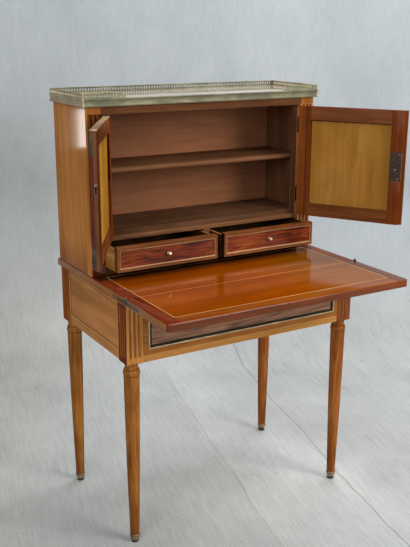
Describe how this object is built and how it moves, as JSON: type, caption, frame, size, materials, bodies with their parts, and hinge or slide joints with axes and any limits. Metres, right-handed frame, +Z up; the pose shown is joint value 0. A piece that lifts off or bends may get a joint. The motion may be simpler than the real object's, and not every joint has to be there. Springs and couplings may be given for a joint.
{
  "type": "bonheur du jour",
  "caption": "Small mahogany writing desk with a fold-over flap, a cabinet with panelled doors and drawers, and a pierced brass gallery.",
  "frame": {"origin": "on the floor, under the middle of the desk as it stands with its flap open, on its plane of symmetry", "axes": "+Z up, -Y to the front where one sits, +X to the sitter's right"},
  "size_m": [1.0032, 0.7052, 1.247],
  "materials": {
    "mahogany": "french polished",
    "red_mahogany": "french polished",
    "polished_top": "high polish",
    "interior_wood": "dull polish",
    "drawer_lining": "bare, waxed",
    "golden_panel": "polished",
    "light_line": "polished",
    "brass": "aged, dull",
    "iron": "dark, plain"
  },
  "bodies": {
    "carcase": {"leg_front_left": "mahogany", "leg_front_right": "mahogany", "leg_rear_left": "mahogany", "leg_rear_right": "mahogany", "sabots": "brass", "side_apron_left": "mahogany", "side_apron_right": "mahogany", "apron_mouldings": "light_line", "back_apron": "mahogany", "front_lower_rail": "mahogany", "front_upper_rail": "mahogany", "long_drawer_runners": "drawer_lining", "table_top": "polished_top", "table_top_stringing": "light_line", "flap_hinge_fixed_leaves": "brass", "pilaster_left": "mahogany", "pilaster_right": "mahogany", "cabinet_side_left": "mahogany", "cabinet_side_right": "mahogany", "cabinet_base": "interior_wood", "small_drawer_rail": "mahogany", "small_drawer_divider": "interior_wood", "cabinet_floor": "interior_wood", "cabinet_top_rail": "mahogany", "door_stops": "interior_wood", "cabinet_back": "interior_wood", "shelf": "interior_wood", "shelf_battens": "interior_wood", "crowning_board": "polished_top", "brass_band": "brass", "gallery": "brass", "gallery_front_returns": "brass", "door_hinge_fixed_leaves": "brass"},
    "flap": {"flap": "polished_top", "flap_stringing": "light_line", "flap_hinge_leaves": "brass"},
    "left_door": {"left_door_frame": "red_mahogany", "left_door_panel": "golden_panel", "left_door_moulding": "brass", "left_door_hinge_leaves": "brass", "left_door_strike": "brass"},
    "right_door": {"right_door_frame": "red_mahogany", "right_door_panel": "golden_panel", "right_door_moulding": "brass", "right_door_hinge_leaves": "brass", "right_door_lock": "iron"},
    "right_door_lock_bolt": {"right_door_lock_bolt": "iron"},
    "small_drawer_left": {"small_drawer_left_front": "red_mahogany", "small_drawer_left_box": "drawer_lining", "small_drawer_left_stringing": "brass", "small_drawer_left_knob": "brass"},
    "small_drawer_right": {"small_drawer_right_front": "red_mahogany", "small_drawer_right_box": "drawer_lining", "small_drawer_right_stringing": "brass", "small_drawer_right_knob": "brass"},
    "long_drawer": {"long_drawer_front": "red_mahogany", "long_drawer_box": "drawer_lining", "long_drawer_moulding": "brass", "long_drawer_lock": "iron"},
    "long_drawer_lock_bolt": {"long_drawer_lock_bolt": "iron"}
  },
  "joints": [
    {"name": "flap_hinge", "type": "hinge", "parent": "carcase", "child": "flap", "pos_m": [0, -0.122, 0.7405], "axis": [-1, 0, 0], "range_deg": [0, 110]},
    {"name": "left_door_hinge", "type": "hinge", "parent": "carcase", "child": "left_door", "pos_m": [-0.3335, 0.106, 1.0175], "axis": [0, 0, -1], "range_deg": [-120, 50]},
    {"name": "right_door_hinge", "type": "hinge", "parent": "carcase", "child": "right_door", "pos_m": [0.3335, 0.106, 1.0175], "axis": [0, 0, 1], "range_deg": [-122, 48]},
    {"name": "small_drawer_left_slide", "type": "slide", "parent": "carcase", "child": "small_drawer_left", "axis": [0, -1, 0], "range_m": [-0.08, 0.07]},
    {"name": "small_drawer_right_slide", "type": "slide", "parent": "carcase", "child": "small_drawer_right", "axis": [0, -1, 0], "range_m": [-0.08, 0.07]},
    {"name": "long_drawer_slide", "type": "slide", "parent": "carcase", "child": "long_drawer", "axis": [0, -1, 0], "range_m": [0, 0.3]},
    {"name": "right_door_lock_bolt_slide", "type": "slide", "parent": "right_door", "child": "right_door_lock_bolt", "axis": [0.5299, -0.848, 0], "range_m": [0, 0.008]},
    {"name": "long_drawer_lock_bolt_slide", "type": "slide", "parent": "long_drawer", "child": "long_drawer_lock_bolt", "axis": [0, 0, 1], "range_m": [0, 0.007]}
  ]
}
